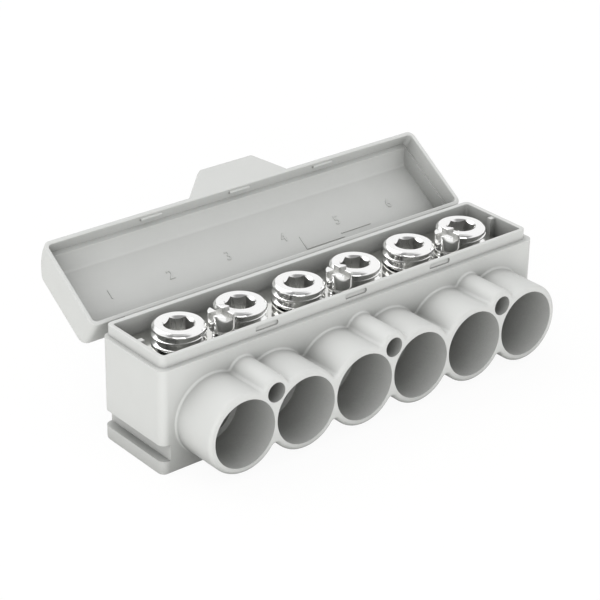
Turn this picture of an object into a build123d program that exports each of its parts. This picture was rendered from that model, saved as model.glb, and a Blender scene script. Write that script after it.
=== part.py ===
from build123d import *
from math import atan2, cos, degrees, radians, sin, sqrt
import os

# Insulated distribution block: one tapped aluminium bar in a moulded trough with a hinged lid.
# Frame in millimetres: X along the row of poles, -Y towards the cable entries, +Z up.
# The origin is the middle of the trough's flat underside.

# Poles
POLES = 6
POLE_PITCH = 16.5
TAPS = POLES // 2

# Cable tubes on the front
TUBE_OVERLAP = 2.3
TUBE_WALL = 1.48
TUBE_LENGTH = 11.7
TUBE_AXIS_HEIGHT = 11.1
TUBE_STOP_DEPTH = 12.8
TUBE_MOUTH_ROUND = 0.8
TUBE_ROOT_ROUND = 0.5
VALLEY_ROUND = 1.0
STOP_RING_WIDTH = 1.5

# Small tubes for the tap conductors, one above every other gap between poles
TAP_BORE_RADIUS = 2.31
TAP_TUBE_WALL = 1.35
TAP_RISE = 7.14

# Trough
END_MARGIN = 13.0
BODY_DEPTH = 21.7
SHOULDER_HEIGHT = 24.8
BODY_CORNER_ROUND = 1.75
BACK_FOOT_ROUND = 2.2
FOOT_EDGE_BREAK = 0.3
FRONT_WALL = 2.4
BACK_WALL = 1.2
FLOOR = 2.0
RIM_HEIGHT = 2.5
RIM_FRONT_WALL = 1.0
RIM_END_WALL = 1.1
FRONT_LEDGE = 1.4
END_LEDGE = 1.15
RIM_CORNER_ROUND = 1.4
RIM_EDGE_ROUND = 0.25
TROUGH_CORNER_ROUND = 0.6
POCKET_END_STEP = 1.4
POCKET_HEIGHT = 10.0
RIB_THICKNESS = 1.2
RIB_DROP = 0.4
GROOVE_BOTTOM = 3.1
GROOVE_HEIGHT = 3.85
GROOVE_DEPTH = 2.1

# Latch windows in the rim and the nubs of the lid that face them
LATCHES = 3
LATCH_PITCH = 25.25
WINDOW_WIDTH = 6.2
WINDOW_HEIGHT = 1.2
WINDOW_RISE = 0.8
WINDOW_DEPTH = 0.4
WINDOW_CORNER_ROUND = 0.5
NUB_END_GAP = 0.2
NUB_HEIGHT = 0.9
NUB_REACH = 0.4

# Connector bar
BAR_SIDE_GAP = 0.1
BAR_HEIGHT = 21.1
CONDUCTOR_BORE_RADIUS = 5.75
CONDUCTOR_ENTRY_CHAMFER = 0.5
TAP_CONDUCTOR_RADIUS = 1.8
TAP_CONDUCTOR_DEPTH = 7.1
TAP_SCREW_SETBACK = 4.05
BAR_EDGE_BREAK = 0.3
THREAD_CLEARANCE = 0.05

# Clamp screws, drawn back as far as the conductor bores need
CLAMP_THREAD_RADIUS = 6.0
CLAMP_STAND = 4.7
CLAMP_POINT_GAP = 0.15
CLAMP_POINT_RADIUS = 4.25
CLAMP_POINT_LENGTH = 1.75
CLAMP_TOP_CHAMFER = 0.85
CLAMP_TOP_DROP = 0.4
HEX_ACROSS_FLATS = 6.0
HEX_DEPTH = 5.6
HEX_COUNTERSINK = 0.75
HEX_TURN = 30

# Tap screws
TAP_THREAD_RADIUS = 2.0
TAP_POINT_RADIUS = 1.2
TAP_POINT_LENGTH = 1.2
TAP_POINT_GAP = 0.06
TAP_HEAD_RADIUS = 3.0
TAP_HEAD_GAP = 2.2
TAP_HEAD_HEIGHT = 4.5
TAP_HEAD_CHAMFER = 0.25
TAP_UNDER_ROUND = 0.9
TAP_SLOT_WIDTH = 1.7
TAP_SLOT_DEPTH = 1.3

# Lid, drawn closed and then turned back about its film hinge
LID_OPEN_ANGLE = 146.1
LID_SEAT_GAP = 0.1
LID_DEPTH = 9.0
LID_TOP_WALL = 1.1
LID_FRONT_GAP = 0.5
LID_BACK_GAP = 0.2
LID_END_GAP = 0.25
LID_RIM_WALL = 1.0
LID_END_RIM_WALL = 0.95
LID_HINGE_WALL = 1.1
LID_FRONT_SWEEP = 12.0
LID_FRONT_WALL = 1.25
LID_END_WALL = 1.4
LID_HINGE_STEP = 0.3
LID_RECESS = 3.9
LID_HINGE_ROUND = 2.4
LID_BROW_ROUND = 2.0
LID_END_ROUND = 1.8
LID_INNER_ROUND = 1.0
LID_EDGE_ROUND = 0.25
TAB_BASE = 28.3
TAB_TIP = 15.3
TAB_REACH = 6.1
TAB_THICKNESS = 1.3
TAB_CORNER_ROUND = 1.4

# Film hinge: two tapered webs that meet at the hinge line
HINGE_SETBACK = 2.2
HINGE_LENGTH = 92.0
HINGE_WEB_ROOT = 1.2
HINGE_WEB_TIP = 0.35
HINGE_BEAD_RADIUS = 0.16
HINGE_LINE_GAP = 0.24
HINGE_FACE_GAP = 0.05

# Sizes worked out from the ones above
tube_outer_radius = (POLE_PITCH + TUBE_OVERLAP) / 2
tube_bore_radius = tube_outer_radius - TUBE_WALL
tap_outer_radius = TAP_BORE_RADIUS + TAP_TUBE_WALL
tap_height = TUBE_AXIS_HEIGHT + TAP_RISE
body_length = (POLES - 1) * POLE_PITCH + 2 * END_MARGIN
front_y = -BODY_DEPTH / 2
back_y = BODY_DEPTH / 2
mouth_y = front_y - TUBE_LENGTH
stop_y = mouth_y + TUBE_STOP_DEPTH
rim_top = SHOULDER_HEIGHT + RIM_HEIGHT
rim_length = body_length - 2 * END_LEDGE
rim_front_y = front_y + FRONT_LEDGE
trough_front_y = rim_front_y + RIM_FRONT_WALL
trough_back_y = back_y - BACK_WALL
trough_depth = trough_back_y - trough_front_y
trough_mid_y = (trough_front_y + trough_back_y) / 2
trough_length = rim_length - 2 * RIM_END_WALL
pocket_length = trough_length - 2 * POCKET_END_STEP

bar_length = pocket_length - 2 * BAR_SIDE_GAP
bar_depth = trough_depth - 2 * BAR_SIDE_GAP
bar_front_y = trough_front_y + BAR_SIDE_GAP
bar_top = FLOOR + BAR_HEIGHT
clamp_hole_radius = CLAMP_THREAD_RADIUS + THREAD_CLEARANCE
tap_hole_radius = TAP_THREAD_RADIUS + THREAD_CLEARANCE
tap_screw_y = trough_mid_y - TAP_SCREW_SETBACK

pole_xs = [(i - (POLES - 1) / 2) * POLE_PITCH for i in range(POLES)]
tap_xs = [pole_xs[2 * i] + POLE_PITCH / 2 for i in range(TAPS)]
window_height = SHOULDER_HEIGHT + WINDOW_RISE + WINDOW_HEIGHT / 2
latch_xs = [(i - (LATCHES - 1) / 2) * LATCH_PITCH for i in range(LATCHES)]

lid_seat = SHOULDER_HEIGHT + LID_SEAT_GAP
lid_top = lid_seat + LID_DEPTH
lid_ceiling = lid_top - LID_TOP_WALL
lid_inner_front_y = rim_front_y - LID_FRONT_GAP
lid_inner_back_y = back_y + LID_BACK_GAP
lid_front_y = lid_inner_front_y - LID_RIM_WALL
lid_back_y = lid_inner_back_y + LID_HINGE_WALL
lid_inner_length = rim_length + 2 * LID_END_GAP
lid_length = lid_inner_length + 2 * LID_END_RIM_WALL
lid_hollow_length = lid_length - 2 * LID_END_WALL
hinge_y = back_y + HINGE_SETBACK
hinge_z = lid_seat


def facing_front(y):
    """A sketch plane at this Y, with X to the right, Z up and its normal towards the cable entries."""
    return Plane(origin=(0, y, 0), x_dir=(1, 0, 0), z_dir=(0, -1, 0))


def near(value, target):
    return abs(value - target) < 0.001


# Trough with its rim, cable tubes, latch windows, end grooves and half of the film hinge

with BuildPart() as housing:
    with BuildSketch():
        RectangleRounded(body_length, BODY_DEPTH, BODY_CORNER_ROUND)
    extrude(amount=SHOULDER_HEIGHT)
    with BuildSketch(Plane.YZ) as side_view:
        with Locations((0, SHOULDER_HEIGHT / 2)):
            Rectangle(BODY_DEPTH, SHOULDER_HEIGHT)
        fillet(side_view.vertices().group_by(Axis.Y)[0].sort_by(Axis.X)[-1], BACK_FOOT_ROUND)
        fillet(side_view.vertices().group_by(Axis.Y)[0].sort_by(Axis.X)[0], FOOT_EDGE_BREAK)
    extrude(amount=body_length, both=True, mode=Mode.INTERSECT)

    # The tubes are one outline, rounded in the valleys between them
    with BuildSketch(facing_front(mouth_y)) as tube_outline:
        with Locations(*[(x, TUBE_AXIS_HEIGHT) for x in pole_xs]):
            Circle(tube_outer_radius)
        with Locations(*[(x, tap_height) for x in tap_xs]):
            Circle(tap_outer_radius)
        seams = (TUBE_AXIS_HEIGHT, tap_height)
        valleys = [v for v in tube_outline.vertices() if not any(near(v.Y, s) for s in seams)]
        fillet(valleys, VALLEY_ROUND)
    extrude(amount=-(TUBE_LENGTH + FRONT_WALL / 2))
    arcs = housing.edges().filter_by(GeomType.CIRCLE)
    fillet([e for e in arcs if near(e.center().Y, front_y)], TUBE_ROOT_ROUND)
    fillet(housing.faces().sort_by(Axis.Y)[0].outer_wire().edges(), TUBE_MOUTH_ROUND)

    # Rim that the lid closes over
    with BuildSketch(Plane.XY.offset(SHOULDER_HEIGHT - 1)):
        with Locations((0, (rim_front_y + back_y) / 2)):
            RectangleRounded(rim_length, back_y - rim_front_y, RIM_CORNER_ROUND)
    extrude(amount=RIM_HEIGHT + 1)

    # Trough, with a shorter pocket below that locates the bar
    with BuildSketch(Plane.XY.offset(FLOOR)):
        with Locations((0, trough_mid_y)):
            RectangleRounded(pocket_length, trough_depth, TROUGH_CORNER_ROUND)
    extrude(amount=rim_top, mode=Mode.SUBTRACT)
    with BuildSketch(Plane.XY.offset(FLOOR + POCKET_HEIGHT)):
        with Locations((0, trough_mid_y)):
            RectangleRounded(trough_length, trough_depth, TROUGH_CORNER_ROUND)
    extrude(amount=rim_top, mode=Mode.SUBTRACT)
    fillet(housing.faces().sort_by(Axis.Z)[-1].edges(), RIM_EDGE_ROUND)

    # A rib on each end wall keeps the bar from the wall
    with BuildSketch(Plane.XY.offset(FLOOR + POCKET_HEIGHT - 1)):
        for side in (-1, 1):
            with Locations((side * (trough_length - POCKET_END_STEP + 0.2) / 2, trough_mid_y)):
                Rectangle(POCKET_END_STEP + 0.2, RIB_THICKNESS)
    extrude(amount=rim_top - RIB_DROP - (FLOOR + POCKET_HEIGHT - 1))

    # Cable bores with a stop ring ahead of the bar
    with BuildSketch(facing_front(mouth_y)):
        with Locations(*[(x, TUBE_AXIS_HEIGHT) for x in pole_xs]):
            Circle(tube_bore_radius)
    extrude(amount=-TUBE_STOP_DEPTH, mode=Mode.SUBTRACT)
    with BuildSketch(facing_front(mouth_y)):
        with Locations(*[(x, TUBE_AXIS_HEIGHT) for x in pole_xs]):
            Circle(tube_bore_radius - STOP_RING_WIDTH)
        with Locations(*[(x, tap_height) for x in tap_xs]):
            Circle(TAP_BORE_RADIUS)
    extrude(amount=-(trough_mid_y - mouth_y), mode=Mode.SUBTRACT)

    # Latch windows
    with BuildSketch(facing_front(rim_front_y + WINDOW_DEPTH)):
        for x in latch_xs:
            with Locations((x, window_height)):
                RectangleRounded(WINDOW_WIDTH, WINDOW_HEIGHT, WINDOW_CORNER_ROUND)
    extrude(amount=WINDOW_DEPTH + 0.2, mode=Mode.SUBTRACT)

    # Groove across each end face
    with BuildSketch(facing_front(front_y)):
        for side in (-1, 1):
            groove_x = side * (body_length / 2 - GROOVE_DEPTH / 2 + 0.5)
            with Locations((groove_x, GROOVE_BOTTOM + GROOVE_HEIGHT / 2)):
                Rectangle(GROOVE_DEPTH + 1, GROOVE_HEIGHT)
    extrude(amount=-BODY_DEPTH, mode=Mode.SUBTRACT)

    # The housing's web of the film hinge
    web_top = hinge_z - HINGE_FACE_GAP
    with BuildSketch(Plane.YZ):
        with BuildLine():
            Polyline(
                (back_y - BACK_WALL / 2, web_top),
                (hinge_y, web_top),
                (hinge_y - HINGE_BEAD_RADIUS / 2, web_top - HINGE_WEB_TIP),
                (back_y, web_top - HINGE_WEB_ROOT),
                (back_y - BACK_WALL / 2, web_top - HINGE_WEB_ROOT),
                close=True,
            )
        make_face()
        with Locations((hinge_y, hinge_z)):
            Circle(HINGE_BEAD_RADIUS)
    extrude(amount=HINGE_LENGTH / 2, both=True)

# Lid: a tray with a broadly curved front, a recess that clears the rim, a lift tab and latch nubs

sweep_y = lid_front_y + LID_FRONT_SWEEP
brow_angle = degrees(atan2(LID_DEPTH, sqrt(LID_FRONT_SWEEP**2 - LID_DEPTH**2)))
inner_sweep = LID_FRONT_SWEEP - LID_FRONT_WALL
inner_depth = LID_DEPTH - LID_TOP_WALL
inner_brow_angle = degrees(atan2(inner_depth, sqrt(inner_sweep**2 - inner_depth**2)))

with BuildPart() as lid:
    with BuildSketch(Plane.YZ) as lid_section:
        with BuildLine():
            front = CenterArc((sweep_y, lid_seat), LID_FRONT_SWEEP, 180, -brow_angle)
            Polyline(front @ 1, (lid_back_y, lid_top), (lid_back_y, lid_seat), front @ 0)
        make_face()
        fillet(lid_section.vertices().group_by(Axis.Y)[-1].sort_by(Axis.X)[0], LID_BROW_ROUND)
        fillet(lid_section.vertices().group_by(Axis.Y)[-1].sort_by(Axis.X)[-1], LID_HINGE_ROUND)
    extrude(amount=lid_length / 2, both=True)
    for end in (0, -1):
        end_face = lid.faces().sort_by(Axis.X)[end]
        fillet([e for e in end_face.edges() if not near(e.center().Z, lid_seat)], LID_END_ROUND)

    with BuildSketch(Plane.YZ) as hollow_section:
        with BuildLine():
            inner_front = CenterArc((sweep_y, lid_seat), inner_sweep, 180, -inner_brow_angle)
            Polyline(
                inner_front @ 1,
                (lid_inner_back_y - LID_HINGE_STEP, lid_ceiling),
                (lid_inner_back_y - LID_HINGE_STEP, lid_seat),
                inner_front @ 0,
            )
        make_face()
        fillet(hollow_section.vertices().group_by(Axis.Y)[-1], LID_INNER_ROUND)
    extrude(amount=lid_hollow_length / 2, both=True, mode=Mode.SUBTRACT)

    with BuildSketch(Plane.XY.offset(lid_seat)):
        with Locations((0, (lid_inner_front_y + lid_inner_back_y) / 2)):
            RectangleRounded(
                lid_inner_length,
                lid_inner_back_y - lid_inner_front_y,
                LID_INNER_ROUND,
            )
    extrude(amount=LID_RECESS, mode=Mode.SUBTRACT)

    fillet(lid.faces().sort_by(Axis.Z)[0].edges(), LID_EDGE_ROUND)

    # Lift tab, flush with the rim of the lid
    with BuildSketch(Plane.XY.offset(lid_seat)) as tab_outline:
        with BuildLine():
            Polyline(
                (-TAB_BASE / 2, lid_front_y),
                (-TAB_TIP / 2, lid_front_y - TAB_REACH),
                (TAB_TIP / 2, lid_front_y - TAB_REACH),
                (TAB_BASE / 2, lid_front_y),
                (TAB_BASE / 2, lid_front_y + LID_RIM_WALL / 2),
                (-TAB_BASE / 2, lid_front_y + LID_RIM_WALL / 2),
                close=True,
            )
        make_face()
        fillet(tab_outline.vertices().group_by(Axis.Y)[0], TAB_CORNER_ROUND)
    extrude(amount=TAB_THICKNESS)

    # Latch nubs, crowned bars level with the windows
    for x in latch_xs:
        with BuildSketch(Plane.YZ.offset(x)):
            with BuildLine():
                ThreePointArc(
                    (lid_inner_front_y, window_height - NUB_HEIGHT / 2),
                    (lid_inner_front_y + NUB_REACH, window_height),
                    (lid_inner_front_y, window_height + NUB_HEIGHT / 2),
                )
                Polyline(
                    (lid_inner_front_y, window_height - NUB_HEIGHT / 2),
                    (lid_inner_front_y - LID_RIM_WALL / 3, window_height - NUB_HEIGHT / 2),
                    (lid_inner_front_y - LID_RIM_WALL / 3, window_height + NUB_HEIGHT / 2),
                    (lid_inner_front_y, window_height + NUB_HEIGHT / 2),
                )
            make_face()
        extrude(amount=WINDOW_WIDTH / 2 - NUB_END_GAP, both=True)

    # The lid's web of the film hinge
    with BuildSketch(Plane.YZ):
        with BuildLine():
            lid_web_low = hinge_z + HINGE_FACE_GAP
            Polyline(
                (lid_back_y - LID_HINGE_WALL / 3, lid_web_low),
                (hinge_y - HINGE_LINE_GAP, lid_web_low),
                (hinge_y - HINGE_LINE_GAP, lid_web_low + HINGE_WEB_TIP),
                (lid_back_y, lid_web_low + HINGE_WEB_ROOT),
                (lid_back_y - LID_HINGE_WALL / 3, lid_web_low + HINGE_WEB_ROOT),
                close=True,
            )
        make_face()
    extrude(amount=HINGE_LENGTH / 2, both=True)

hinge_line = Axis((0, hinge_y, hinge_z), (1, 0, 0))
with BuildPart() as opened_lid:
    add(lid.part.rotate(hinge_line, -LID_OPEN_ANGLE))

# Connector bar: bored for the conductors from the front and tapped for the screws from the top

with BuildPart() as connector_bar:
    with BuildSketch(Plane.XY.offset(FLOOR)):
        with Locations((0, trough_mid_y)):
            Rectangle(bar_length, bar_depth)
    extrude(amount=BAR_HEIGHT)
    chamfer(connector_bar.edges(), BAR_EDGE_BREAK)
    with BuildSketch(facing_front(bar_front_y - 1)):
        with Locations(*[(x, TUBE_AXIS_HEIGHT) for x in pole_xs]):
            Circle(CONDUCTOR_BORE_RADIUS)
    extrude(amount=-(bar_depth + 2), mode=Mode.SUBTRACT)
    with BuildSketch(facing_front(bar_front_y)):
        with Locations(*[(x, tap_height) for x in tap_xs]):
            Circle(TAP_CONDUCTOR_RADIUS)
    extrude(amount=-TAP_CONDUCTOR_DEPTH, mode=Mode.SUBTRACT)
    entries = connector_bar.edges().filter_by(GeomType.CIRCLE).group_by(Axis.Y)[0]
    chamfer(
        [e for e in entries if near(e.radius, CONDUCTOR_BORE_RADIUS)],
        CONDUCTOR_ENTRY_CHAMFER,
    )
    with BuildSketch(Plane.XY.offset(TUBE_AXIS_HEIGHT)):
        with Locations(*[(x, trough_mid_y) for x in pole_xs]):
            Circle(clamp_hole_radius)
    extrude(amount=bar_top, mode=Mode.SUBTRACT)
    with BuildSketch(Plane.XY.offset(tap_height)):
        with Locations(*[(x, tap_screw_y) for x in tap_xs]):
            Circle(tap_hole_radius)
    extrude(amount=bar_top, mode=Mode.SUBTRACT)

# Clamp screws: hexagon socket set screws with a flat point

clamp_tip = TUBE_AXIS_HEIGHT + CONDUCTOR_BORE_RADIUS + CLAMP_POINT_GAP
clamp_top = bar_top + CLAMP_STAND

with BuildPart() as clamp_screw:
    with BuildSketch(Plane.XZ):
        with BuildLine():
            Polyline(
                (0, clamp_tip),
                (CLAMP_POINT_RADIUS, clamp_tip),
                (CLAMP_THREAD_RADIUS, clamp_tip + CLAMP_POINT_LENGTH),
                (CLAMP_THREAD_RADIUS, clamp_top - CLAMP_TOP_DROP),
                (CLAMP_THREAD_RADIUS - CLAMP_TOP_CHAMFER, clamp_top),
                (0, clamp_top),
                close=True,
            )
        make_face()
    revolve(axis=Axis.Z)
    with BuildSketch(Plane.XY.offset(clamp_top)):
        RegularPolygon(HEX_ACROSS_FLATS / 2, 6, major_radius=False, rotation=HEX_TURN)
    extrude(amount=-HEX_DEPTH, mode=Mode.SUBTRACT)
    hex_corner_radius = HEX_ACROSS_FLATS / sqrt(3)
    with BuildSketch(Plane.XY.offset(clamp_top)):
        Circle(hex_corner_radius + 0.1)
    extrude(amount=-HEX_COUNTERSINK, taper=45, mode=Mode.SUBTRACT)

# Tap screws: slotted both ways, so that the head stands up as four prongs

tap_tip = tap_height + TAP_CONDUCTOR_RADIUS + TAP_POINT_GAP
tap_head_low = bar_top + TAP_HEAD_GAP
tap_head_top = tap_head_low + TAP_HEAD_HEIGHT

with BuildPart() as tap_screw:
    with BuildSketch():
        Circle(TAP_HEAD_RADIUS)
    extrude(amount=TAP_HEAD_HEIGHT)
    rims = tap_screw.edges().filter_by(GeomType.CIRCLE).sort_by(Axis.Z)
    chamfer(rims[-1], TAP_HEAD_CHAMFER)
    fillet(rims[0], TAP_UNDER_ROUND)
    with BuildSketch(Plane.XY.offset(TAP_HEAD_HEIGHT)):
        Rectangle(TAP_SLOT_WIDTH, 2 * TAP_HEAD_RADIUS)
        Rectangle(2 * TAP_HEAD_RADIUS, TAP_SLOT_WIDTH)
    extrude(amount=-TAP_SLOT_DEPTH, mode=Mode.SUBTRACT)
    with BuildSketch():
        Circle(TAP_THREAD_RADIUS)
    extrude(amount=tap_tip - tap_head_low)
    chamfer(
        tap_screw.edges().filter_by(GeomType.CIRCLE).sort_by(Axis.Z)[0],
        TAP_POINT_LENGTH,
        TAP_THREAD_RADIUS - TAP_POINT_RADIUS,
    )

# One file for each piece

os.makedirs("parts", exist_ok=True)

housing.part.label = "housing"
export_step(housing.part, "parts/housing.step")

connector_bar.part.label = "connector_bar"
export_step(connector_bar.part, "parts/connector_bar.step")

opened_lid.part.label = "lid"
export_step(opened_lid.part, "parts/lid.step")

for number, x in enumerate(pole_xs, start=1):
    with BuildPart() as placed_screw:
        with Locations((x, trough_mid_y, 0)):
            add(clamp_screw.part)
    placed_screw.part.label = f"clamp_screw_{number}"
    export_step(placed_screw.part, f"parts/clamp_screw_{number}.step")

for number, x in enumerate(tap_xs, start=1):
    with BuildPart() as placed_screw:
        with Locations((x, tap_screw_y, tap_head_low)):
            add(tap_screw.part)
    placed_screw.part.label = f"tap_screw_{number}"
    export_step(placed_screw.part, f"parts/tap_screw_{number}.step")
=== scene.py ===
from math import atan2, ceil, cos, hypot, pi, radians, sin

import bmesh
import bpy
from mathutils import Matrix, Vector


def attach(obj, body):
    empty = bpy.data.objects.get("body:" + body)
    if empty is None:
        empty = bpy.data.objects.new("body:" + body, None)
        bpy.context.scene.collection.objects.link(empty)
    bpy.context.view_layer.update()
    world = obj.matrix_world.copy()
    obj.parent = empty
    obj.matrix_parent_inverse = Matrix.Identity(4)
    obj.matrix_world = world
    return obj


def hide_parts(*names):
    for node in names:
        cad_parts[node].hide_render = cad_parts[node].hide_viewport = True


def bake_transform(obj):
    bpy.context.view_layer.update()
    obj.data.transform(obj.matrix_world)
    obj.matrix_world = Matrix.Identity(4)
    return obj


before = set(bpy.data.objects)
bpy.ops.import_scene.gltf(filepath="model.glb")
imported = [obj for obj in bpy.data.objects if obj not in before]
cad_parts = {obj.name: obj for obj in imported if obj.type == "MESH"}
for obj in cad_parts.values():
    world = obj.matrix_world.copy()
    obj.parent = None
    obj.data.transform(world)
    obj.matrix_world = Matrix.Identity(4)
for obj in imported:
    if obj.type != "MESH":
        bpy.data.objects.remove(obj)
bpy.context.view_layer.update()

MM = 0.001

# Camera and studio
# A long lens looks down at the cable entries from the left of the block, on a white table.
# One soft light stands low on the front left, and a weaker one above, a little behind.
# Bright metal mirrors an unlit part of the room, high on the front left, as a grey zone.

CAMERA_PLACE = Vector((-266.6, -309.05, 225.6)) * MM
CAMERA_YAW = radians(39.89)
CAMERA_PITCH = radians(26.66)
CAMERA_ROLL = radians(1.06)
FOCAL_PIXELS = 2021.88
PICTURE_PIXELS = 600
SENSOR_WIDTH = 36.0

forward = Vector(
    (sin(CAMERA_YAW) * cos(CAMERA_PITCH), cos(CAMERA_YAW) * cos(CAMERA_PITCH), -sin(CAMERA_PITCH))
)
level = Vector((cos(CAMERA_YAW), -sin(CAMERA_YAW), 0))
upward = level.cross(forward)
right = cos(CAMERA_ROLL) * level + sin(CAMERA_ROLL) * upward
top = cos(CAMERA_ROLL) * upward - sin(CAMERA_ROLL) * level
camera = bpy.data.objects.new("camera", bpy.data.cameras.new("camera"))
bpy.context.scene.collection.objects.link(camera)
turn = Matrix((right, top, -forward)).transposed()
camera.matrix_world = Matrix.Translation(CAMERA_PLACE) @ turn.to_4x4()
camera.data.sensor_width = SENSOR_WIDTH
camera.data.lens = FOCAL_PIXELS * SENSOR_WIDTH / PICTURE_PIXELS
camera.data.clip_start = 0.01
camera.data.clip_end = 20
bpy.context.scene.camera = camera
bpy.context.scene.view_settings.view_transform = "Standard"


def colour(code):
    """A colour written as an sRGB hex code, turned to the linear values that nodes take."""
    parts = [int(code[i : i + 2], 16) / 255 for i in (1, 3, 5)]
    return [c / 12.92 if c <= 0.04045 else ((c + 0.055) / 1.055) ** 2.4 for c in parts] + [1.0]


def add_node(tree, kind, values=None, links=None, **settings):
    """Adds a node with its settings, the values of its sockets and the sockets that feed them."""
    node = tree.nodes.new(kind)
    for name, value in settings.items():
        setattr(node, name, value)
    for socket, value in (values or {}).items():
        node.inputs[socket].default_value = value
    for socket, source in (links or {}).items():
        tree.links.new(source, node.inputs[socket])
    return node


def new_tree(owner):
    """Clears the node tree of a material or a world and returns it."""
    owner.use_nodes = True
    owner.node_tree.nodes.clear()
    return owner.node_tree


def seen_directly(tree):
    """One for a ray that shows the surroundings: to the eye, in a reflection or through glass."""
    path = add_node(tree, "ShaderNodeLightPath")
    either = add_node(
        tree,
        "ShaderNodeMath",
        links={0: path.outputs["Is Camera Ray"], 1: path.outputs["Is Glossy Ray"]},
        operation="MAXIMUM",
    )
    return add_node(
        tree,
        "ShaderNodeMath",
        links={0: either.outputs[0], 1: path.outputs["Is Transmission Ray"]},
        operation="MAXIMUM",
    )


STUDIO_AMBIENT = 0.85
DARK_SIDE = (-0.45, -0.54, 0.71)
DARK_FROM = radians(52)
DARK_FULL = radians(28)
DARK_TONE = 0.3
world = bpy.data.worlds.new("studio")
bpy.context.scene.world = world
tree = new_tree(world)
seen = seen_directly(tree)
dim = add_node(
    tree, "ShaderNodeBackground", {"Color": colour("#FFFFFF"), "Strength": STUDIO_AMBIENT}
)
direction = add_node(tree, "ShaderNodeTexCoord").outputs["Generated"]
nearness = add_node(
    tree, "ShaderNodeVectorMath", {1: DARK_SIDE}, {0: direction}, operation="DOT_PRODUCT"
)
opening = add_node(
    tree,
    "ShaderNodeMapRange",
    {
        "From Min": cos(DARK_FROM),
        "From Max": cos(DARK_FULL),
        "To Min": 1.0,
        "To Max": DARK_TONE,
    },
    {"Value": nearness.outputs["Value"]},
    interpolation_type="SMOOTHSTEP",
)
to_the_eye = add_node(tree, "ShaderNodeLightPath").outputs["Is Camera Ray"]
surroundings = add_node(
    tree, "ShaderNodeMath", links={0: opening.outputs[0], 1: to_the_eye}, operation="MAXIMUM"
)
white = add_node(
    tree,
    "ShaderNodeBackground",
    {"Color": colour("#FFFFFF")},
    {"Strength": surroundings.outputs[0]},
)
mixed = add_node(
    tree,
    "ShaderNodeMixShader",
    links={0: seen.outputs[0], 1: dim.outputs[0], 2: white.outputs[0]},
)
add_node(tree, "ShaderNodeOutputWorld", links={"Surface": mixed.outputs[0]})

LAMP_SIZE = 0.7
LAMP_AIM = Vector((0, 0, 20)) * MM
LAMPS = (
    ("light_above", Vector((-100, 450, 650)) * MM, 2.4),
    ("light_front_left", Vector((-500, -620, 100)) * MM, 4.4),
)
for name, place, power in LAMPS:
    lamp = bpy.data.objects.new(name, bpy.data.lights.new(name, "AREA"))
    lamp.data.shape = "SQUARE"
    lamp.data.size = LAMP_SIZE
    lamp.data.energy = power
    lamp.location = place
    lamp.rotation_euler = (LAMP_AIM - place).to_track_quat("-Z", "Y").to_euler()
    bpy.context.scene.collection.objects.link(lamp)

# Table
# A plain sheet of matt white card under the block, far larger than the view.
# The eye sees it almost white, with only the soft shadow under the block.

TABLE_HALF = 2.5
TABLE_GLOW_SHARE = 0.93
mesh = bpy.data.meshes.new("table")
table = bpy.data.objects.new("table", mesh)
bpy.context.scene.collection.objects.link(table)
bm = bmesh.new()
bmesh.ops.create_grid(bm, x_segments=1, y_segments=1, size=TABLE_HALF)
bm.to_mesh(mesh)
bm.free()
material = bpy.data.materials.new("matt_white_card")
tree = new_tree(material)
card = add_node(tree, "ShaderNodeBsdfDiffuse", {"Color": colour("#F4F4F2"), "Roughness": 0.5})
glow = add_node(tree, "ShaderNodeEmission", {"Color": colour("#FFFFFF"), "Strength": 1.0})
seen = seen_directly(tree)
share = add_node(
    tree, "ShaderNodeMath", {1: TABLE_GLOW_SHARE}, {0: seen.outputs[0]}, operation="MULTIPLY"
)
mixed = add_node(
    tree, "ShaderNodeMixShader", links={0: share.outputs[0], 1: card.outputs[0], 2: glow.outputs[0]}
)
add_node(tree, "ShaderNodeOutputMaterial", links={"Surface": mixed.outputs[0]})
mesh.materials.append(material)

# Housing and lid
# Both are moulded in light grey polyamide, with a fine spark-eroded grain from the tool.
# The grain leaves the surface matt, with a soft broad sheen and no clear reflection.
# Bores and deep corners get painted shade: a darker grey wherever ambient occlusion finds them
# closed in, which gives the block its depth in soft light.

GREY_PLASTIC = "#CACBC9"
GREY_PLASTIC_DEEP = "#C5C6C4"
# Painted shade in recesses: its grey, the occlusion at which it is full and where it is gone, and
# how far the occlusion looks.
PAINTED_SHADE_GREY = "#6A6B68"
PAINTED_SHADE_FULL = 0.08
PAINTED_SHADE_NONE = 0.78
PAINTED_SHADE_REACH = 16.0 * MM
NOISE_LOW = 0.3
NOISE_HIGH = 0.7
GRAIN = 0.16 * MM
GRAIN_DEPTH = 0.03 * MM
GRAIN_STRENGTH = 0.12
PLASTIC_SHEEN = (0.5, 0.6)
PLASTIC_IOR = 1.53
CLOUD = 9.0 * MM


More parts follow.
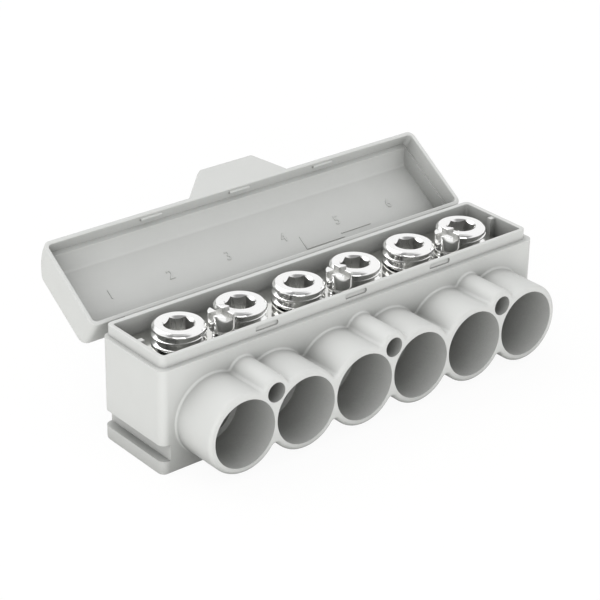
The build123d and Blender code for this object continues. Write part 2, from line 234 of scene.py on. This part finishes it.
def grained_plastic(name, light, deep):
    """Moulded polyamide: matt grey, with a fine tool grain, faint clouds in its colour and painted
    shade in its recesses.
    """
    material = bpy.data.materials.new(name)
    tree = new_tree(material)
    place = add_node(tree, "ShaderNodeTexCoord").outputs["Object"]
    cloud = add_node(
        tree,
        "ShaderNodeTexNoise",
        {"Scale": 1 / CLOUD, "Detail": 3.0, "Roughness": 0.6},
        {"Vector": place},
    )
    tint = add_node(
        tree,
        "ShaderNodeMix",
        {6: colour(light), 7: colour(deep)},
        {0: cloud.outputs["Fac"]},
        data_type="RGBA",
    )
    # Painted shade: ambient occlusion darkens the colour towards dark grey in bores, deep corners
    # and round the foot of raised marks.
    occlusion_for_shade = add_node(
        tree,
        "ShaderNodeAmbientOcclusion",
        {"Distance": PAINTED_SHADE_REACH},
        samples=6,
    )
    painted_shade_openness = add_node(
        tree,
        "ShaderNodeMapRange",
        {"From Min": PAINTED_SHADE_FULL, "From Max": PAINTED_SHADE_NONE},
        {"Value": occlusion_for_shade.outputs["AO"]},
    )
    painted_shade_tint = add_node(
        tree,
        "ShaderNodeMix",
        {6: colour(PAINTED_SHADE_GREY)},
        {0: painted_shade_openness.outputs[0], 7: tint.outputs[2]},
        data_type="RGBA",
    )
    grain = add_node(
        tree,
        "ShaderNodeTexNoise",
        {"Scale": 1 / GRAIN, "Detail": 2.0, "Roughness": 0.55},
        {"Vector": place},
    )
    bump = add_node(
        tree,
        "ShaderNodeBump",
        {"Strength": GRAIN_STRENGTH, "Distance": GRAIN_DEPTH},
        {"Height": grain.outputs["Fac"]},
    )
    rough = add_node(
        tree,
        "ShaderNodeMapRange",
        {
            "From Min": NOISE_LOW,
            "From Max": NOISE_HIGH,
            "To Min": PLASTIC_SHEEN[0],
            "To Max": PLASTIC_SHEEN[1],
        },
        {"Value": grain.outputs["Fac"]},
    )
    shader = add_node(
        tree,
        "ShaderNodeBsdfPrincipled",
        {"IOR": PLASTIC_IOR},
        {
            "Base Color": painted_shade_tint.outputs[2],
            "Roughness": rough.outputs[0],
            "Normal": bump.outputs[0],
        },
    )
    add_node(tree, "ShaderNodeOutputMaterial", links={"Surface": shader.outputs[0]})
    return material


plastic = grained_plastic("moulded_polyamide", GREY_PLASTIC, GREY_PLASTIC_DEEP)


def finish(node, material):
    """Gives a part of the frame its finish."""
    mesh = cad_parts[node].data
    if not mesh.materials:
        mesh.materials.append(material)
    for i in range(len(mesh.materials)):
        mesh.materials[i] = material


finish("housing", plastic)
finish("lid", plastic)

# Film hinge
# A film of the same polyamide, a fifth of a millimetre thick, joins the webs of lid and housing.
# It is moulded with both. On the real block it bends each time the lid is moved; here it keeps the
# shape it has with the lid open.

HINGE_LINE = Vector((0, 13.05, 24.9)) * MM
OPEN_ANGLE = radians(-146.1)
FILM_LENGTH = 92.0 * MM
FILM_THICKNESS = 0.22 * MM
FILM_HOLD = 0.55 * MM
FILM_OFF_LINE = 0.28 * MM
FILM_SAG = Vector((0, 0.03, -0.12)) * MM
CRISP_MOULDED = radians(50)

opened = (
    Matrix.Translation(HINGE_LINE)
    @ Matrix.Rotation(OPEN_ANGLE, 4, "X")
    @ Matrix.Translation(-HINGE_LINE)
)


def add_piece(name, bm, material, body=None):
    """Makes an object of a finished bmesh, gives it a material and lets it ride on a body."""
    mesh = bpy.data.meshes.new(name)
    bm.to_mesh(mesh)
    bm.free()
    mesh.materials.append(material)
    piece = bpy.data.objects.new(name, mesh)
    bpy.context.scene.collection.objects.link(piece)
    if body:
        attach(piece, body)
    return piece


def shade(bm, angle):
    """Smooth shading, with the edges that turn by more than the angle kept crisp."""
    bm.normal_update()
    for face in bm.faces:
        face.smooth = True
    for edge in bm.edges:
        edge.smooth = len(edge.link_faces) == 2 and edge.calc_face_angle(pi) < angle


start = HINGE_LINE + Vector((0, -FILM_HOLD, -FILM_OFF_LINE))
middle = HINGE_LINE + FILM_SAG
end = opened @ (HINGE_LINE + Vector((0, -FILM_HOLD, FILM_OFF_LINE)))
bm = bmesh.new()
route = [bm.verts.new(p + Vector((-FILM_LENGTH / 2, 0, 0))) for p in (start, middle, end)]
steps = [bm.edges.new(pair) for pair in zip(route, route[1:])]
swept = bmesh.ops.extrude_edge_only(bm, edges=steps)
bmesh.ops.translate(
    bm,
    verts=[v for v in swept["geom"] if isinstance(v, bmesh.types.BMVert)],
    vec=(FILM_LENGTH, 0, 0),
)
bmesh.ops.recalc_face_normals(bm, faces=bm.faces)
bmesh.ops.solidify(bm, geom=bm.faces[:], thickness=FILM_THICKNESS)
bmesh.ops.recalc_face_normals(bm, faces=bm.faces)
shade(bm, CRISP_MOULDED)
film = add_piece("hinge_film", bm, plastic)
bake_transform(film)

# Marks inside the lid
# A stepped strip gauge and the numbers of the six poles stand up a seventh of a millimetre.
# They are moulded with the lid's plate, so they have its colour and show only by their edges.

PLATE_HEIGHT = 32.8 * MM
PLATE_BACK = 11.05 * MM
MARK_HEIGHT = 0.14 * MM
MARK_EDGE = 0.05 * MM
LINE_WIDTH = 0.26 * MM
LINE_LAP = 0.026 * MM
JOIN = 0.001 * MM
POLE_PITCH = 16.5 * MM
POLES = 6
NUMBER_SIZE = 3.4 * MM
NUMBER_ROW = 8.6 * MM
GAUGE_LEFT = 12.4 * MM
GAUGE_STEP = 23.85 * MM
GAUGE_RIGHT = 32.84 * MM
GAUGE_LOW = 3.94 * MM
GAUGE_HIGH = 5.04 * MM
GAUGE_TICK = 7.5 * MM


def on_plate(x, up):
    """Where a mark goes on the opened lid's plate: x along the block, up from the hinge side."""
    place = Matrix.Translation((x, PLATE_BACK - up, PLATE_HEIGHT))
    return opened @ place @ Matrix.Rotation(pi, 4, "X")


bm = bmesh.new()
for x0, x1, y0, y1 in (
    (GAUGE_LEFT, GAUGE_STEP, GAUGE_LOW, GAUGE_LOW),
    (GAUGE_STEP, GAUGE_RIGHT, GAUGE_HIGH, GAUGE_HIGH),
    (GAUGE_LEFT, GAUGE_LEFT, GAUGE_LOW + LINE_WIDTH - LINE_LAP, GAUGE_TICK),
):
    size = Matrix.Diagonal((x1 - x0 + LINE_WIDTH, y1 - y0 + LINE_WIDTH, 2 * MARK_HEIGHT, 1))
    centre = on_plate((x0 + x1) / 2, (y0 + y1) / 2)
    line = bmesh.ops.create_cube(bm, size=1.0)
    edges = dict.fromkeys(e for v in line["verts"] for e in v.link_edges)
    bmesh.ops.transform(bm, matrix=centre @ size, verts=line["verts"])
    bmesh.ops.bevel(
        bm,
        geom=list(edges),
        offset=MARK_EDGE,
        affect="EDGES",
        segments=2,
        profile=0.5,
        material=-1,
        clamp_overlap=True,
    )
shade(bm, CRISP_MOULDED)
gauge = add_piece("strip_gauge", bm, plastic, "lid")

for number in range(1, POLES + 1):
    text = bpy.data.curves.new(f"pole_number_{number}", "FONT")
    text.body = str(number)
    text.size = NUMBER_SIZE
    text.extrude = MARK_HEIGHT - MARK_EDGE
    text.bevel_depth = MARK_EDGE
    text.bevel_resolution = 1
    text.offset = -MARK_EDGE
    text.resolution_u = 4
    text.align_x = "CENTER"
    text.align_y = "CENTER"
    source = bpy.data.objects.new("number_source", text)
    bpy.context.scene.collection.objects.link(source)
    bpy.context.view_layer.update()
    drawn = source.evaluated_get(bpy.context.evaluated_depsgraph_get())
    mesh = bpy.data.meshes.new_from_object(drawn)
    bpy.data.objects.remove(source)
    mesh.transform(on_plate((number - (POLES + 1) / 2) * POLE_PITCH, NUMBER_ROW))
    bm = bmesh.new()
    bm.from_mesh(mesh)
    bmesh.ops.remove_doubles(bm, verts=bm.verts, dist=JOIN)
    bmesh.ops.recalc_face_normals(bm, faces=bm.faces)
    mark = add_piece(f"pole_number_{number}", bm, plastic, "lid")

# Connector bar
# One bar of aluminium, drawn, bored and tapped, then tin-plated bright.
# The plating keeps faint lines along the bar from the drawing die and mirrors the trough.

LINE_STRENGTH = 0.25


def bright_metal(name, tone, roughness, line_spacing, line_depth, stretch):
    """Plated metal: bright, with fine lines from how it was drawn or turned."""
    material = bpy.data.materials.new(name)
    tree = new_tree(material)
    place = add_node(tree, "ShaderNodeTexCoord").outputs["Object"]
    along = add_node(tree, "ShaderNodeMapping", {"Scale": stretch}, {"Vector": place})
    lines = add_node(
        tree,
        "ShaderNodeTexNoise",
        {"Scale": 1 / line_spacing, "Detail": 2.0},
        {"Vector": along.outputs[0]},
    )
    bump = add_node(
        tree,
        "ShaderNodeBump",
        {"Strength": LINE_STRENGTH, "Distance": line_depth},
        {"Height": lines.outputs["Fac"]},
    )
    wear = add_node(
        tree,
        "ShaderNodeMapRange",
        {
            "From Min": NOISE_LOW,
            "From Max": NOISE_HIGH,
            "To Min": roughness * 0.8,
            "To Max": roughness * 1.3,
        },
        {"Value": lines.outputs["Fac"]},
    )
    shader = add_node(
        tree,
        "ShaderNodeBsdfPrincipled",
        {"Base Color": colour(tone), "Metallic": 1.0},
        {"Roughness": wear.outputs[0], "Normal": bump.outputs[0]},
    )
    add_node(tree, "ShaderNodeOutputMaterial", links={"Surface": shader.outputs[0]})
    return material


tinned = bright_metal("tinned_aluminium", "#E3E3E0", 0.1, 0.3 * MM, 0.004 * MM, (0.03, 1.0, 1.0))
finish("connector_bar", tinned)

# Clamp screws
# M12 hexagon socket set screws of steel, turned, rolled and then zinc-plated bright.
# A plain collar with a chamfer ends the thread at the top, with the socket broached into it.
# The socket's walls keep a dull film of plating, since the bath hardly reaches them.

SCREW_ROW = 0.6 * MM
SCREW_TOP = 27.8 * MM
SCREW_TIP = 17.0 * MM
THREAD_RADIUS = 6.0 * MM
ROOT_RADIUS = 4.98 * MM
THREAD_PITCH = 1.75 * MM
CREST_WIDTH = 0.24 * MM
COLLAR = [
    (r * MM, z * MM)
    for r, z in ((6.0, 26.85), (6.0, 26.97), (5.92, 27.25), (5.75, 27.48), (5.3, 27.8))
]
RUNOUT_LOW = 26.27 * MM
POINT_RADIUS = 4.25 * MM
POINT_TOP = 17.73 * MM
FULL_THREAD = 18.75 * MM
SOCKET_FLATS = 6.0 * MM
SOCKET_DEPTH = 5.6 * MM
SOCKET_POINT = 1.2 * MM
SOCKET_MOUTH = 3.56 * MM
SOCKET_TURN = radians(30)
CREST_IN_FRONT = 25.65 * MM
FRONT_ANGLE = radians(230)
SPIN_STEPS = 60
CUT_TOLERANCE = 0.0005 * MM
LEVEL_TOLERANCE = 0.02 * MM
SHARE_SLACK = 0.001
CRISP_TURNED = radians(28)

zinc = bright_metal("bright_zinc_plate", "#F6F6F5", 0.13, 0.25 * MM, 0.001 * MM, (1.0, 1.0, 4.0))
dull_zinc = bright_metal("dull_zinc_plate", "#CCCCCA", 0.3, 0.2 * MM, 0.006 * MM, (1.0, 1.0, 0.1))


def spin_skin(bm, outline, angle=0, rise=0):
    """Spins an outline of (radius, height) pairs once round the Z axis, rising as it goes."""
    points = [bm.verts.new((r * cos(angle), r * sin(angle), z)) for r, z in outline]
    edges = [bm.edges.new(pair) for pair in zip(points, points[1:])]
    bmesh.ops.spin(
        bm,
        geom=points + edges,
        cent=(0, 0, 0),
        axis=(0, 0, 1),
        dvec=(0, 0, rise / SPIN_STEPS),
        angle=2 * pi,
        steps=SPIN_STEPS,
        use_merge=rise == 0,
        use_normal_flip=False,
        use_duplicate=False,
    )
    bmesh.ops.remove_doubles(bm, verts=bm.verts, dist=JOIN)


def cut_level(bm, height, clear_above=False, clear_below=False):
    """Cuts the skin through at a height, and clears away what lies above or below it."""
    bmesh.ops.bisect_plane(
        bm,
        geom=bm.verts[:] + bm.edges[:] + bm.faces[:],
        dist=CUT_TOLERANCE,
        plane_co=(0, 0, height),
        plane_no=(0, 0, 1),
        clear_outer=clear_above,
        clear_inner=clear_below,
    )


def turn_plain(bm, outline):
    """Turns a stretch of a threaded skin to a plain outline of (radius, height) pairs."""
    for radius, height in outline:
        cut_level(bm, height)
    for (low_radius, low), (high_radius, high) in zip(outline, outline[1:]):
        for v in bm.verts:
            share = (v.co.z - low) / (high - low)
            if -SHARE_SLACK < share < 1 + SHARE_SLACK:
                reach = low_radius + (high_radius - low_radius) * share
                v.co.xy *= reach / hypot(v.co.x, v.co.y)


def meet_cone(bm, pick, low_radius, low, high_radius, high):
    """Brings a stretch of the skin in to a cone where pick is min, or out to it where it is max."""
    cut_level(bm, low)
    cut_level(bm, high)
    for v in bm.verts:
        share = (v.co.z - low) / (high - low)
        if -SHARE_SLACK < share < 1 + SHARE_SLACK:
            cone = low_radius + (high_radius - low_radius) * share
            v.co.xy *= pick(1, cone / hypot(v.co.x, v.co.y))


def threaded_skin(bm, root, crest, crest_width, pitch, low, high, crest_height, angle):
    """A rolled thread round the Z axis, cut level at both ends, with a crest at a given place."""
    turns = ceil((high - low) / pitch) + 3
    lowest = crest_height - pitch * (ceil((crest_height - low) / pitch) + 1)
    outline = []
    for i in range(turns + 1):
        z = lowest + i * pitch
        outline += [(crest, z - crest_width / 2), (crest, z + crest_width / 2)]
        outline += [(root, z + (pitch - crest_width) / 2), (root, z + (pitch + crest_width) / 2)]
    spin_skin(bm, outline, angle, pitch)
    cut_level(bm, high, clear_above=True)
    cut_level(bm, low, clear_below=True)


def open_edges(bm, height):
    """The edges of a skin's open end at a height."""
    boundary = [e for e in bm.edges if e.is_boundary]
    return [e for e in boundary if abs(e.verts[0].co.z - height) < LEVEL_TOLERANCE]


def drawn_on(bm, edges, place, material_index=0):
    """Carries an open edge on to where place puts its points, and returns the new open edge."""
    drawn = bmesh.ops.extrude_edge_only(bm, edges=edges)["geom"]
    for v in (g for g in drawn if isinstance(g, bmesh.types.BMVert)):
        v.co = place(atan2(v.co.y, v.co.x), v.co)
    for face in (g for g in drawn if isinstance(g, bmesh.types.BMFace)):
        face.material_index = material_index
    return [g for g in drawn if isinstance(g, bmesh.types.BMEdge) and g.is_boundary]


def hexagon_reach(angle):
    """How far the socket's wall is from the axis at an angle."""
    from_flat = (angle - SOCKET_TURN) % (pi / 3) - pi / 6
    return SOCKET_FLATS / 2 / cos(from_flat)


def round_the_axis(angle, reach, height):
    """A point by its angle round the screw's axis, its distance from it and its height."""
    return Vector((cos(angle) * reach, sin(angle) * reach, height))


def mouth_edge(angle, point):
    """The outer edge of the socket's countersink."""
    return round_the_axis(angle, SOCKET_MOUTH, SCREW_TOP)


def hexagon_edge(angle, point):
    """Where the countersink meets the hexagon."""
    reach = hexagon_reach(angle)
    return round_the_axis(angle, reach, SCREW_TOP - SOCKET_MOUTH + reach)


def clamp_screw():
    """The whole screw on the Z axis: thread, collar and socket."""
    bm = bmesh.new()
    start_height = CREST_IN_FRONT - (FRONT_ANGLE - SOCKET_TURN) / (2 * pi) * THREAD_PITCH
    threaded_skin(
        bm,
        ROOT_RADIUS,
        THREAD_RADIUS,
        CREST_WIDTH,
        THREAD_PITCH,
        SCREW_TIP,
        SCREW_TOP,
        start_height,
        SOCKET_TURN,
    )
    turn_plain(bm, [(POINT_RADIUS, SCREW_TIP), (ROOT_RADIUS, POINT_TOP)])
    meet_cone(bm, min, POINT_RADIUS, SCREW_TIP, THREAD_RADIUS, FULL_THREAD)
    meet_cone(bm, max, ROOT_RADIUS, RUNOUT_LOW, THREAD_RADIUS, COLLAR[0][1])
    turn_plain(bm, COLLAR)
    bmesh.ops.holes_fill(bm, edges=open_edges(bm, SCREW_TIP), sides=0)

    edge = drawn_on(bm, open_edges(bm, SCREW_TOP), mouth_edge)
    edge = drawn_on(bm, edge, hexagon_edge)
    deep = SCREW_TOP - SOCKET_DEPTH
    edge = drawn_on(bm, edge, lambda angle, point: Vector((point.x, point.y, deep)), 1)
    drawn_on(bm, edge, lambda angle, point: Vector((0, 0, deep - SOCKET_POINT)), 1)
    bmesh.ops.remove_doubles(bm, verts=bm.verts, dist=JOIN)
    bmesh.ops.recalc_face_normals(bm, faces=bm.faces)
    shade(bm, CRISP_TURNED)
    return bm


for number in range(1, POLES + 1):
    bm = clamp_screw()
    bmesh.ops.translate(
        bm, verts=bm.verts, vec=((number - (POLES + 1) / 2) * POLE_PITCH, SCREW_ROW, 0)
    )
    screw = add_piece(f"clamp_screw_{number}_threaded", bm, zinc, f"clamp_screw_{number}")
    screw.data.materials.append(dull_zinc)
    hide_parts(f"clamp_screw_{number}")

# Tap screws
# Small M4 steel screws with a round head, slotted both ways so that four prongs stand up.
# They are plated like the clamp screws, and each clamps a thin tap wire in the bar.

TAPS = 3
TAP_ROW = -3.45 * MM
TAP_TIP = 20.1 * MM
TAP_ROOT = 1.6 * MM
TAP_CREST = 2.0 * MM
TAP_CREST_WIDTH = 0.1 * MM
TAP_PITCH = 0.7 * MM
TAP_POINT_RADIUS = 1.2 * MM
TAP_POINT_LENGTH = 1.2 * MM
TAP_HEAD_LOW = 25.3 * MM
TAP_HEAD_TOP = 29.8 * MM
TAP_HEAD_RADIUS = 3.0 * MM
TAP_UNDER_ROUND = 0.94 * MM
TAP_SLOT_WIDTH = 1.75 * MM
TAP_SLOT_DEPTH = 1.3 * MM
TAP_EDGE = 0.18 * MM
TAP_UNDER_STEPS = 6
TAP_EDGE_STEPS = 3
FACE_TOLERANCE = 0.01 * MM
SLIVER = 0.002 * MM
CRISP_HEAD = radians(38)


def above(elements, height):
    """The edges or faces that lie wholly above a height."""
    return [e for e in elements if all(v.co.z > height - FACE_TOLERANCE for v in e.verts)]


def tap_screw():
    """The whole tap screw on the Z axis, with its prongs drawn up from the slots' floor."""
    bm = bmesh.new()
    threaded_skin(
        bm,
        TAP_ROOT,
        TAP_CREST,
        TAP_CREST_WIDTH,
        TAP_PITCH,
        TAP_TIP,
        TAP_HEAD_LOW + TAP_PITCH / 2,
        TAP_HEAD_LOW,
        0,
    )
    turn_plain(bm, [(TAP_POINT_RADIUS, TAP_TIP), (TAP_ROOT, TAP_TIP + TAP_POINT_LENGTH)])
    bmesh.ops.holes_fill(bm, edges=[e for e in bm.edges if e.is_boundary], sides=0)

    floor_height = TAP_HEAD_TOP - TAP_SLOT_DEPTH
    quarter = [pi / 2 * i / TAP_UNDER_STEPS for i in range(TAP_UNDER_STEPS + 1)]
    inner = TAP_HEAD_RADIUS - TAP_UNDER_ROUND
    under = [
        (inner + TAP_UNDER_ROUND * sin(a), TAP_HEAD_LOW + TAP_UNDER_ROUND * (1 - cos(a)))
        for a in quarter
    ]
    spin_skin(bm, [(0, TAP_HEAD_LOW), *under, (TAP_HEAD_RADIUS, floor_height)], pi / SPIN_STEPS)
    bmesh.ops.holes_fill(bm, edges=open_edges(bm, floor_height), sides=0)
    for axis in (Vector((1, 0, 0)), Vector((0, 1, 0))):
        for side in (-1, 1):
            faces = above(bm.faces, floor_height)
            edges = dict.fromkeys(e for f in faces for e in f.edges)
            verts = dict.fromkeys(v for f in faces for v in f.verts)
            bmesh.ops.bisect_plane(
                bm,
                geom=faces + list(edges) + list(verts),
                dist=JOIN,
                plane_co=axis * side * TAP_SLOT_WIDTH / 2,
                plane_no=axis,
            )
    centres = [(f, f.calc_center_median()) for f in above(bm.faces, floor_height)]
    corners = [f for f, c in centres if min(abs(c.x), abs(c.y)) > TAP_SLOT_WIDTH / 2]
    raised = bmesh.ops.extrude_face_region(bm, geom=corners)["geom"]
    prongs = [g for g in raised if isinstance(g, bmesh.types.BMVert)]
    bmesh.ops.translate(bm, verts=prongs, vec=(0, 0, TAP_SLOT_DEPTH))
    bmesh.ops.delete(bm, geom=[f for f in corners if f.is_valid], context="FACES_ONLY")
    bmesh.ops.recalc_face_normals(bm, faces=bm.faces)
    bm.normal_update()
    bmesh.ops.bevel(
        bm,
        geom=above(bm.edges, TAP_HEAD_TOP),
        offset=TAP_EDGE,
        affect="EDGES",
        segments=TAP_EDGE_STEPS,
        profile=0.5,
        material=-1,
        clamp_overlap=True,
    )
    bmesh.ops.remove_doubles(bm, verts=bm.verts, dist=SLIVER)
    bmesh.ops.dissolve_degenerate(bm, dist=SLIVER, edges=bm.edges)
    bmesh.ops.recalc_face_normals(bm, faces=bm.faces)
    reach = TAP_HEAD_RADIUS - TAP_EDGE
    for face in bm.faces:
        centre = face.calc_center_median()
        in_slot = floor_height - FACE_TOLERANCE < centre.z < TAP_HEAD_TOP - TAP_EDGE
        if in_slot and hypot(centre.x, centre.y) < reach:
            face.material_index = 1
    shade(bm, CRISP_HEAD)
    return bm


for number in range(1, TAPS + 1):
    bm = tap_screw()
    bmesh.ops.translate(
        bm, verts=bm.verts, vec=((number - (TAPS + 1) / 2) * 2 * POLE_PITCH, TAP_ROW, 0)
    )
    screw = add_piece(f"tap_screw_{number}_slotted", bm, zinc, f"tap_screw_{number}")
    screw.data.materials.append(dull_zinc)
    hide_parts(f"tap_screw_{number}")
